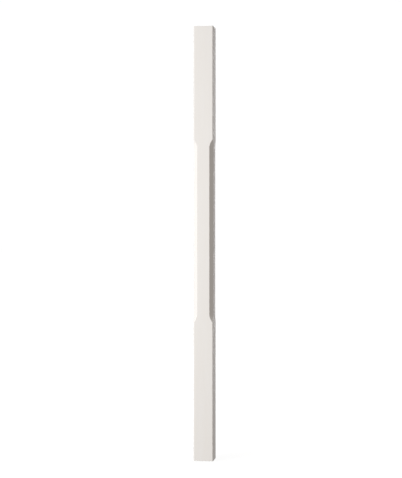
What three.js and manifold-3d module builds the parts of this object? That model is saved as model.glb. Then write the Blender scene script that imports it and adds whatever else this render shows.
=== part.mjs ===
// A stop-chamfered stair spindle: one straight length of square timber. Its four long edges are chamfered
// between a plain square foot block and a plain square head block, and each chamfer runs out in a curved stop.
// Millimetres, +Z up the spindle, origin at the centre of the foot's end face.
import * as THREE from "three";
import { mergeVertices, toCreasedNormals } from "three/addons/utils/BufferGeometryUtils.js";
import Module from "manifold-3d";

// Driving dimensions
const LENGTH = 900; // foot end to head end
const SECTION = 41; // side of the square section
const FOOT_BLOCK = 285; // square length below the chamfers, measured along the edge
const HEAD_BLOCK = 234; // square length above the chamfers, measured along the edge
const CHAMFER_LEG = 7.8; // width that the 45 degree chamfer takes off each face
const CUTTER_RADIUS = 35; // radius of the rotary cutter, which leaves the curved stops
const EDGE_RADIUS = 2; // the blank's long edges are rounded to this radius

// How finely the round surfaces are faceted
const EDGE_FACETS = 12; // round the quarter turn of a rounded edge
const CUTTER_FACETS = 120; // round half a turn of the cutter
const FACETS_PER_SEGMENT = 2; // ExtrudeGeometry cuts an arc into twice its curveSegments
const CREASE_ANGLE = THREE.MathUtils.degToRad(8); // facets that meet at less than this are shaded as one

const PAINTED_TIMBER = new THREE.MeshStandardMaterial({
  name: "painted_timber",
  color: new THREE.Color(0.82, 0.8, 0.77),
  roughness: 0.55,
  metalness: 0,
});

const wasm = await Module();
wasm.setup();

// A closed three.js geometry as a solid that can be cut and joined
function solidFrom(geometry) {
  const bare = geometry.clone();
  bare.deleteAttribute("normal");
  bare.deleteAttribute("uv");
  const merged = mergeVertices(bare, 1e-4);
  return new wasm.Manifold(
    new wasm.Mesh({
      numProp: 3,
      vertProperties: merged.getAttribute("position").array,
      triVerts: new Uint32Array(merged.index.array),
    }),
  );
}

// A solid back as a geometry, shaded smooth round the long edges and along the stops, and crisp elsewhere
function geometryFrom(solid) {
  const mesh = solid.getMesh();
  const geometry = new THREE.BufferGeometry();
  geometry.setAttribute("position", new THREE.BufferAttribute(mesh.vertProperties, mesh.numProp));
  geometry.setIndex(new THREE.BufferAttribute(mesh.triVerts, 1));
  return toCreasedNormals(geometry, CREASE_ANGLE);
}

// The planed blank: the square section with rounded long edges, standing on z = 0
function blankGeometry() {
  const arcCentre = SECTION / 2 - EDGE_RADIUS;
  const section = new THREE.Shape();
  for (let corner = 0; corner < 4; corner++) {
    const start = (corner * Math.PI) / 2;
    const middle = start + Math.PI / 4;
    const x = Math.sign(Math.cos(middle)) * arcCentre;
    const y = Math.sign(Math.sin(middle)) * arcCentre;
    section.absarc(x, y, EDGE_RADIUS, start, start + Math.PI / 2, false);
  }
  section.closePath();
  return new THREE.ExtrudeGeometry(section, {
    depth: LENGTH,
    bevelEnabled: false,
    curveSegments: EDGE_FACETS / FACETS_PER_SEGMENT,
  });
}

// What one pass of the cutter sweeps along the edge at x = y: a slot with round ends, seen square to the
// diagonal, whose near side is the chamfer. The round ends leave the curved stops.
function cutterSweepGeometry() {
  const edgeFromAxis = SECTION / Math.SQRT2;
  const depth = CHAMFER_LEG / Math.SQRT2;
  const runOut = Math.sqrt(CUTTER_RADIUS ** 2 - (CUTTER_RADIUS - depth) ** 2);
  const low = FOOT_BLOCK + runOut;
  const high = LENGTH - HEAD_BLOCK - runOut;
  const cutterAxis = edgeFromAxis - depth + CUTTER_RADIUS;
  const width = SECTION; // wider than the chamfer, so that the slot's own sides cut nothing
  const sweep = new THREE.Shape();
  sweep.absarc(cutterAxis, high, CUTTER_RADIUS, 0, Math.PI, false);
  sweep.absarc(cutterAxis, low, CUTTER_RADIUS, Math.PI, 2 * Math.PI, false);
  sweep.closePath();
  const geometry = new THREE.ExtrudeGeometry(sweep, {
    depth: width,
    bevelEnabled: false,
    curveSegments: CUTTER_FACETS / FACETS_PER_SEGMENT,
  });
  geometry.translate(0, 0, -width / 2);
  geometry.rotateX(Math.PI / 2); // the sweep's own y becomes the spindle's z
  geometry.rotateZ(Math.PI / 4); // and its x points out through the edge
  return geometry;
}

// The blank with the same pass of the cutter taken along each of its four long edges
function spindleGeometry() {
  let spindle = solidFrom(blankGeometry());
  const sweep = cutterSweepGeometry();
  for (let edge = 0; edge < 4; edge++) {
    spindle = spindle.subtract(solidFrom(sweep));
    sweep.rotateZ(Math.PI / 2);
  }
  return geometryFrom(spindle);
}

const spindle = new THREE.Mesh(spindleGeometry(), PAINTED_TIMBER);
spindle.name = "spindle";

const part = new THREE.Group();
part.add(spindle);

export default part;
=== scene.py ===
"""A stop-chamfered stair spindle in white primer: the fine mesh, the primer, the studio and the camera."""

import math

import bpy
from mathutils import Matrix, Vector, noise


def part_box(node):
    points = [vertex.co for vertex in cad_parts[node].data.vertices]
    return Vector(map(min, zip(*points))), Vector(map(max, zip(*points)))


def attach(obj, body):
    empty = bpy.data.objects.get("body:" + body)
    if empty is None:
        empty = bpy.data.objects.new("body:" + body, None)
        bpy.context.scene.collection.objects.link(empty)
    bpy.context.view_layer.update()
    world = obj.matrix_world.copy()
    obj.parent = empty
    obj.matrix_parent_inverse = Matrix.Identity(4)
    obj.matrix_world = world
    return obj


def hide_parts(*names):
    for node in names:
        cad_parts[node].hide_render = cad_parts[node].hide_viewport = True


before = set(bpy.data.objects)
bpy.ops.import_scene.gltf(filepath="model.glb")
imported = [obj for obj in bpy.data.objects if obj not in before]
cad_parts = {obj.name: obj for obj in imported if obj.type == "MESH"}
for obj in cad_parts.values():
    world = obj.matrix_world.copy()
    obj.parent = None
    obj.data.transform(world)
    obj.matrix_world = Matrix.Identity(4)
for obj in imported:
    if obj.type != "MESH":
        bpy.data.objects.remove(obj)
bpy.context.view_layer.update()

MM = 0.001
ROOT_2 = math.sqrt(2)

# The spindle, in metres
LOW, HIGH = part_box("spindle")
LENGTH = HIGH[2] - LOW[2]
HALF = (HIGH[0] - LOW[0]) / 2  # half the side of the square section
FOOT_BLOCK = 285 * MM  # square length below the chamfers
HEAD_BLOCK = 234 * MM  # square length above the chamfers
CHAMFER_LEG = 7.8 * MM  # width that the chamfer takes off each face
CUTTER_RADIUS = 35 * MM
EDGE_RADIUS = 2 * MM  # rounded long edges of the blocks
EDGE_WANDER = 0.05  # share by which sanding varies that radius along an edge
WANDERS_PER_METRE = 11
WANDER_SPACING = 7.3  # how far apart the four edges lie in the noise, so that each wanders its own way
ARRIS_RADIUS = 0.3 * MM  # edges of the chamfers, softened by the primer
MARKED_WIDTH = 1 * MM  # half a chamfer this wide and wider shows the cutter's marks in full
RIM_RADIUS = 0.3 * MM  # edges of the sawn ends

# How finely it is meshed
FACE_STEPS = 8  # from the middle of a face to its edge
ARC_STEPS = 8  # round the turn from a face to a chamfer
FLAT_STEPS = 4  # across half a chamfer
RIM_STEPS = 3
END_RINGS = 6
STOP_ROW = 0.4 * MM
PLAIN_ROW = 9 * MM

# The photograph's frame, and where the nearest long edge would be in it without its rounding, in pixels
IMAGE_WIDTH, IMAGE_HEIGHT = 402, 478
NEAR_EDGE_X = 213.05
NEAR_EDGE_TOP = 25.6
NEAR_EDGE_BOTTOM = 461.35
VIEW_YAW = math.radians(8.5)  # how far the camera stands round towards +X
VIEW_DISTANCE = 2.65
SENSOR = 36  # millimetres along the frame's long side

CHAMFER_DEPTH = CHAMFER_LEG / ROOT_2
RUN_OUT = math.sqrt(CUTTER_RADIUS**2 - (CUTTER_RADIUS - CHAMFER_DEPTH) ** 2)
CUT_START = FOOT_BLOCK + RUN_OUT  # the cutter is at full depth between these heights
CUT_END = LENGTH - HEAD_BLOCK - RUN_OUT
DIAGONAL = math.pi / 4


def smooth_step(low, high, value):
    share = min(max((value - low) / (high - low), 0), 1)
    return share * share * (3 - 2 * share)


def cut_depth(z):
    """How far below the sharp corner the cutter reaches at height z, square to the chamfer."""
    beyond = max(CUT_START - z, z - CUT_END, 0)
    if beyond >= RUN_OUT:
        return 0
    return CHAMFER_DEPTH - CUTTER_RADIUS + math.sqrt(CUTTER_RADIUS**2 - beyond**2)


def direction(angle):
    return Vector((math.cos(angle), math.sin(angle)))


def half_corner(z, corner):
    """Points from the middle of a face to the diagonal at height z, each with its milled and eased shares.

    The rounded edge turns from the face as far as the cut lets it, a small arris turns on to the chamfer's
    slope, and the chamfer runs flat to the diagonal. Uncut, the rounded edge turns all the way.
    """
    depth = cut_depth(z)
    wander = noise.noise(Vector((corner * WANDER_SPACING, 0.5, z * WANDERS_PER_METRE)))
    radius = EDGE_RADIUS * (1 + EDGE_WANDER * wander)
    edge_centre = Vector((HALF - radius, HALF - radius))
    slope_gap = (ROOT_2 * radius - depth - ARRIS_RADIUS) / (radius - ARRIS_RADIUS)
    edge_turn = DIAGONAL - math.acos(min(max(slope_gap, 0), 1))
    if edge_turn > 0:
        arris_centre = edge_centre + (radius - ARRIS_RADIUS) * direction(edge_turn)
        face_end = edge_centre.y
    else:
        edge_turn = 0
        arris_centre = Vector((HALF - ARRIS_RADIUS, HALF - ROOT_2 * depth - (ROOT_2 - 1) * ARRIS_RADIUS))
        face_end = arris_centre.y
    edge = radius * edge_turn
    turned = edge + ARRIS_RADIUS * (DIAGONAL - edge_turn)
    flat = (arris_centre.x - arris_centre.y) / ROOT_2
    milled = smooth_step(0, MARKED_WIDTH, flat)

    points = [(HALF, face_end * step / FACE_STEPS, 0, 0) for step in range(FACE_STEPS)]
    steps = ARC_STEPS + FLAT_STEPS
    # Points lie evenly along the outline while the chamfer is narrow, and part by part once it is wide
    for step in range(steps + 1):
        even = (turned + flat) * step / steps
        by_part = turned * min(step / ARC_STEPS, 1) + flat * max(step - ARC_STEPS, 0) / FLAT_STEPS
        travel = even + (by_part - even) * flat / (flat + turned)
        if travel < edge:
            point = edge_centre + radius * direction(travel / radius)
        else:
            arris_turn = min(edge_turn + (travel - edge) / ARRIS_RADIUS, DIAGONAL)
            point = arris_centre + ARRIS_RADIUS * direction(arris_turn)
            point += max(travel - turned, 0) * Vector((-1, 1)) / ROOT_2
        on_flat = 1 if travel > turned else 0
        points.append((point.x, point.y, milled * on_flat, 1 - on_flat))
    return points


def ring(z, inset=0):
    """The section at height z, drawn in by inset on every side."""
    scale = (HALF - inset) / HALF
    vertices = []
    for corner in range(4):
        half = half_corner(z, corner)
        mirrored = [(y, x, milled, eased) for x, y, milled, eased in reversed(half[1:-1])]
        for x, y, milled, eased in half + mirrored:
            for _ in range(corner):
                x, y = -y, x
            vertices.append((x * scale, y * scale, z, milled, eased, 0))
    return vertices


def row_heights():
    """Heights of the mesh's rows between the rims: close together in the stops, further apart elsewhere."""
    spans = (
        (RIM_RADIUS, FOOT_BLOCK, PLAIN_ROW),
        (FOOT_BLOCK, CUT_START, STOP_ROW),
        (CUT_START, CUT_END, PLAIN_ROW),
        (CUT_END, LENGTH - HEAD_BLOCK, STOP_ROW),
        (LENGTH - HEAD_BLOCK, LENGTH - RIM_RADIUS, PLAIN_ROW),
    )
    heights = [RIM_RADIUS]
    for low, high, spacing in spans:
        count = math.ceil((high - low) / spacing)
        heights += [low + (high - low) * (row + 1) / count for row in range(count)]
    return heights


def rim_rings():
    """The rounded rim of the foot, from its end face upwards, as (height, inset)."""
    for step in range(RIM_STEPS):
        angle = math.pi / 2 * step / RIM_STEPS
        yield RIM_RADIUS * (1 - math.cos(angle)), RIM_RADIUS * (1 - math.sin(angle))


def end_rings(z):
    """Rings that fill a sawn end, from its middle outwards."""
    outline = ring(z, RIM_RADIUS)
    for step in range(1, END_RINGS):
        share = step / END_RINGS
        yield [(x * share, y * share, z, 0, 0, 1) for x, y, _, _, _, _ in outline]


def spindle_mesh():
    foot = [ring(z, inset) for z, inset in rim_rings()]
    head = [ring(LENGTH - z, inset) for z, inset in rim_rings()]
    body = [ring(z) for z in row_heights()]
    rings = [*end_rings(0), *foot, *body, *reversed(head), *reversed(list(end_rings(LENGTH)))]
    around = len(rings[0])
    vertices = [vertex for one in rings for vertex in one]
    faces = []
    for lower in range(0, len(vertices) - around, around):
        for column in range(around):
            following = (column + 1) % around
            faces.append(
                (lower + column, lower + following, lower + around + following, lower + around + column)
            )
    for z, first, turn in ((0, 0, -1), (LENGTH, len(vertices) - around, 1)):
        middle = len(vertices)
        vertices.append((0, 0, z, 0, 0, 1))
        for column in range(around):
            pair = (first + column, first + (column + 1) % around)
            faces.append((middle, *pair[::turn]))
    mesh = bpy.data.meshes.new("primed_spindle")
    mesh.from_pydata([vertex[:3] for vertex in vertices], [], faces)
    for place, name in enumerate(("milled", "eased", "sawn"), start=3):
        attribute = mesh.attributes.new(name, "FLOAT", "POINT")
        attribute.data.foreach_set("value", [float(vertex[place]) for vertex in vertices])
    mesh.shade_smooth()
    mesh.validate()
    return mesh


class NodeTree:
    """Adds shader nodes: an input given a socket is linked to it, and one given a value is set."""

    def __init__(self, owner):
        owner.use_nodes = True
        self.tree = owner.node_tree
        self.tree.nodes.clear()

    def add(self, kind, inputs=None, **settings):
        node = self.tree.nodes.new(kind)
        for name, value in settings.items():
            setattr(node, name, value)
        for name, value in (inputs or {}).items():
            if isinstance(value, bpy.types.NodeSocket):
                self.tree.links.new(value, node.inputs[name])
            else:
                node.inputs[name].default_value = value
        return node

    def math(self, operation, first, second):
        return self.add("ShaderNodeMath", {0: first, 1: second}, operation=operation).outputs[0]

    def scaled(self, value, amount):
        return self.math("MULTIPLY", value, amount)

    def ramp(self, value, low, high):
        """Nought below low, one above high and even between them."""
        inputs = {"Value": value, "From Min": low, "From Max": high}
        return self.add("ShaderNodeMapRange", inputs).outputs["Result"]

    def blend(self, share, first, second):
        """A number that goes from first to second with share."""
        return self.add("ShaderNodeMix", {0: share, 2: first, 3: second}, data_type="FLOAT").outputs[0]

    def blend_colour(self, share, first, second):
        return self.add("ShaderNodeMix", {0: share, 6: first, 7: second}, data_type="RGBA").outputs[2]


PRIMER = (0.83, 0.824, 0.82, 1)
PRIMER_THIN = (0.77, 0.735, 0.685, 1)  # where the timber's tone comes through
PRIMER_ON_END_GRAIN = (0.76, 0.72, 0.65, 1)
TIMBER = (0.62, 0.50, 0.36, 1)  # in small rubs on the edges and in the end grain
BLOTCH_SHARE = 0.35  # how much of the thin primer's colour shows in the blotches
LINE_SHARE = 0.35  # and over the growth rings
RUB_SHARE = 0.45  # how much of the timber's colour shows in the rubs
END_LINE_SHARE = 0.5  # and in the rings of the sawn ends
ROUGHNESS = (0.48, 0.6)  # in the least and the most blotched primer
ROUGHNESS_SAWN = 0.8
SHEEN = 0.35  # specular level of the primer

# Relief under and in the primer, in metres of height
LATEWOOD_RELIEF = 0.024 * MM
FIBRE_RELIEF = 0.016 * MM
STIPPLE_RELIEF = 0.008 * MM
PLANER_RELIEF = 0.006 * MM
CUTTER_RELIEF = 0.02 * MM
SAW_RELIEF = 0.07 * MM

# Marks that repeat
RING_PITCH = 2.6 * MM
RING_STRETCH = 4  # growth rings wander this much more slowly along the timber
RING_WAVER = 12
LATEWOOD_SHARPNESS = 3.0  # how narrow the dark line of each growth ring is
PITH = (0.055, 0.034, 0)  # how far the tree's heart lies from the spindle's axis
PLANER_PITCH = 1.8 * MM
CUTTER_PITCH = 3.2 * MM
SAW_PITCH = 2.4 * MM
SAW_WAVER = 1.5
SAW_CENTRE = (-0.11, 0.06, 0)
WAVER_SCALE = 0.15  # the wavers are long and slow

# Uneven patterns: size of the noise, how many times longer it is along the timber, and its detail
FIBRES = (1100, 50, 2)
STIPPLE = (800, 1, 2)
BLOTCHES = (45, 4, 3)
THINNESS = (60, 6.5, 2)
SCUFFS = (260, 3.5, 4)
THIN_FROM, THIN_TO = 0.3, 0.63  # noise at which the primer starts to thin, and is as thin as it gets
RUB_FROM, RUB_TO = 0.62, 0.73  # noise at which an edge starts to be rubbed, and is rubbed through


def wave_scale(pitch):
    """The Wave Texture's scale for one crest every pitch metres."""
    radians_per_unit = 20  # the texture's own, at a scale of one
    return 2 * math.pi / (radians_per_unit * pitch)


def primed_timber():
    material = bpy.data.materials.new("primed_timber")
    nodes = NodeTree(material)
    place = nodes.add("ShaderNodeTexCoord").outputs["Object"]
    milled, eased, sawn = (
        nodes.add("ShaderNodeAttribute", attribute_name=name).outputs["Fac"]
        for name in ("milled", "eased", "sawn")
    )

    def stretched(times, shift=(0, 0, 0)):
        """The place in the timber, drawn out along it and moved by shift."""
        inputs = {"Vector": place, "Location": shift, "Scale": (1, 1, 1 / times)}
        return nodes.add("ShaderNodeMapping", inputs).outputs[0]

    def uneven(scale, times, detail):
        inputs = {"Vector": stretched(times), "Scale": scale, "Detail": detail}
        return nodes.add("ShaderNodeTexNoise", inputs).outputs["Fac"]

    def wave(vector, pitch, wave_type, distortion=0.0):
        return nodes.add(
            "ShaderNodeTexWave",
            {
                "Vector": vector,
                "Scale": wave_scale(pitch),
                "Distortion": distortion,
                "Detail Scale": WAVER_SCALE,
            },
            wave_type=wave_type,
            rings_direction="Z",
            bands_direction="Z",
        ).outputs["Fac"]

    blotches = uneven(*BLOTCHES)
    growth = wave(stretched(RING_STRETCH, PITH), RING_PITCH, "RINGS", RING_WAVER)
    latewood = nodes.math("POWER", growth, LATEWOOD_SHARPNESS)
    telegraphed = nodes.math("MULTIPLY", latewood, nodes.ramp(uneven(*THINNESS), THIN_FROM, THIN_TO))
    rubs = nodes.math("MULTIPLY", eased, nodes.ramp(uneven(*SCUFFS), RUB_FROM, RUB_TO))

    planer_marks = nodes.scaled(wave(place, PLANER_PITCH, "BANDS"), PLANER_RELIEF)
    cutter_marks = nodes.scaled(wave(place, CUTTER_PITCH, "BANDS"), CUTTER_RELIEF)
    saw_marks = nodes.scaled(wave(stretched(1, SAW_CENTRE), SAW_PITCH, "RINGS", SAW_WAVER), SAW_RELIEF)
    height = nodes.blend(sawn, nodes.blend(milled, planer_marks, cutter_marks), saw_marks)
    for pattern, relief in (
        (telegraphed, LATEWOOD_RELIEF),
        (uneven(*FIBRES), FIBRE_RELIEF),
        (uneven(*STIPPLE), STIPPLE_RELIEF),
    ):
        height = nodes.math("ADD", height, nodes.scaled(pattern, relief))
    bump = nodes.add("ShaderNodeBump", {"Height": height, "Strength": 1.0, "Distance": 1.0})

    colour = nodes.blend_colour(nodes.scaled(blotches, BLOTCH_SHARE), PRIMER, PRIMER_THIN)
    colour = nodes.blend_colour(nodes.scaled(telegraphed, LINE_SHARE), colour, PRIMER_THIN)
    colour = nodes.blend_colour(nodes.scaled(rubs, RUB_SHARE), colour, TIMBER)
    end_grain = nodes.blend_colour(nodes.scaled(latewood, END_LINE_SHARE), PRIMER_ON_END_GRAIN, TIMBER)
    shader = nodes.add(
        "ShaderNodeBsdfPrincipled",
        {
            "Base Color": nodes.blend_colour(sawn, colour, end_grain),
            "Roughness": nodes.blend(sawn, nodes.blend(blotches, *ROUGHNESS), ROUGHNESS_SAWN),
            "Specular IOR Level": SHEEN,
            "Normal": bump.outputs[0],
        },
    )
    nodes.add("ShaderNodeOutputMaterial", {"Surface": shader.outputs[0]})
    return material


def make_spindle():
    spindle = bpy.data.objects.new("primed_spindle", spindle_mesh())
    bpy.context.scene.collection.objects.link(spindle)
    spindle.data.materials.append(primed_timber())
    weighted = spindle.modifiers.new("face_weighted_normals", "WEIGHTED_NORMAL")
    weighted.weight = 100  # the large faces set the normals, so they stay flat
    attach(spindle, "root")
    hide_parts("spindle")


def make_camera():
    """A level camera without shift that puts the nearest long edge where the photograph has it."""
    focal = (NEAR_EDGE_BOTTOM - NEAR_EDGE_TOP) * VIEW_DISTANCE / LENGTH  # in pixels
    per_pixel = VIEW_DISTANCE / focal
    forward = Vector((-math.sin(VIEW_YAW), math.cos(VIEW_YAW), 0))
    right = Vector((math.cos(VIEW_YAW), math.sin(VIEW_YAW), 0))
    near_foot = Vector((HALF, -HALF, LOW[2]))
    camera_data = bpy.data.cameras.new("camera")
    camera_data.sensor_width = SENSOR
    camera_data.lens = focal * SENSOR / IMAGE_HEIGHT
    camera = bpy.data.objects.new("camera", camera_data)
    camera.location = near_foot - forward * VIEW_DISTANCE
    camera.location -= right * (NEAR_EDGE_X - IMAGE_WIDTH / 2) * per_pixel
    camera.location.z += (NEAR_EDGE_BOTTOM - IMAGE_HEIGHT / 2) * per_pixel
    camera.rotation_euler = forward.to_track_quat("-Z", "Y").to_euler()
    bpy.context.scene.collection.objects.link(camera)
    bpy.context.scene.camera = camera


def make_softbox(name, azimuth, distance, height, width, tall, power, colour=(1, 1, 1)):
    """A soft light aimed at the spindle. Azimuth is in degrees round from the camera, to its right."""
    angle = VIEW_YAW + math.radians(azimuth)
    light = bpy.data.lights.new(name, "AREA")
    light.shape = "RECTANGLE"
    light.size = width
    light.size_y = tall
    light.energy = power
    light.color = colour
    softbox = bpy.data.objects.new(name, light)
    outward = Vector((math.sin(angle), -math.cos(angle), 0))
    softbox.location = outward * distance + Vector((0, 0, height))
    aim = Vector((0, 0, LENGTH / 2)) - softbox.location
    softbox.rotation_euler = aim.to_track_quat("-Z", "Y").to_euler()
    bpy.context.scene.collection.objects.link(softbox)


WHITE = (1, 1, 1, 1)
AMBIENT = (0.311, 0.284, 0.257, 1)
BACKDROP = 1.01  # pure white in the picture
FLOOR_TONE = (0.1, 0.1, 0.1, 1)
FLOOR_GLOW_NEAR = 0.92  # at the foot, where a trace of shade is left
FLOOR_GLOW_FAR = 1.0
FLOOR_FADE = 0.5  # how far from the foot the floor reaches its full glow
FLOOR_REACH = 40
FLOOR_DROP = 0.1 * MM  # keeps the floor out of the plane of the foot's end


def make_floor():
    """A pale floor that glows more away from the foot, so that it runs into the white ground behind."""
    mesh = bpy.data.meshes.new("floor")
    corners = ((-1, -1), (1, -1), (1, 1), (-1, 1))
    mesh.from_pydata([(x * FLOOR_REACH, y * FLOOR_REACH, 0) for x, y in corners], [], [(0, 1, 2, 3)])
    floor = bpy.data.objects.new("floor", mesh)
    material = bpy.data.materials.new("pale_floor")
    nodes = NodeTree(material)
    place = nodes.add("ShaderNodeTexCoord").outputs["Object"]
    distance = nodes.add("ShaderNodeVectorMath", {0: place}, operation="LENGTH").outputs["Value"]
    far = nodes.ramp(distance, 0, FLOOR_FADE)
    shader = nodes.add(
        "ShaderNodeBsdfPrincipled",
        {
            "Base Color": FLOOR_TONE,
            "Roughness": 0.9,
            "Specular IOR Level": 0.0,
            "Emission Color": WHITE,
            "Emission Strength": nodes.blend(far, FLOOR_GLOW_NEAR, FLOOR_GLOW_FAR),
        },
    )
    nodes.add("ShaderNodeOutputMaterial", {"Surface": shader.outputs[0]})
    mesh.materials.append(material)
    floor.location.z = -FLOOR_DROP
    floor.visible_diffuse = False
    floor.visible_glossy = False
    floor.visible_shadow = False
    bpy.context.scene.collection.objects.link(floor)


def make_world():
    """White behind the object, and a dimmer even light from all round."""
    world = bpy.data.worlds.new("studio")
    nodes = NodeTree(world)
    seen = nodes.add("ShaderNodeLightPath").outputs["Is Camera Ray"]
    colour = nodes.blend_colour(seen, AMBIENT, WHITE)
    strength = nodes.blend(seen, 1.0, BACKDROP)
    background = nodes.add("ShaderNodeBackground", {"Color": colour, "Strength": strength})
    nodes.add("ShaderNodeOutputWorld", {"Surface": background.outputs[0]})
    bpy.context.scene.world = world


COOL = (0.92, 0.98, 1.08)


def make_lights():
    make_softbox("key", azimuth=-51, distance=1.9, height=0.57, width=0.7, tall=1.5, power=38)
    make_softbox("fill", azimuth=120, distance=2.2, height=0.6, width=0.7, tall=1.4, power=8.2, colour=COOL)
    make_softbox("back", azimuth=172, distance=2.2, height=0.6, width=0.7, tall=1.4, power=12)
    make_softbox("top", azimuth=0, distance=0, height=2.6, width=0.3, tall=0.3, power=13)


make_camera()
make_spindle()
make_floor()
make_world()
make_lights()
bpy.context.scene.view_settings.view_transform = "Standard"
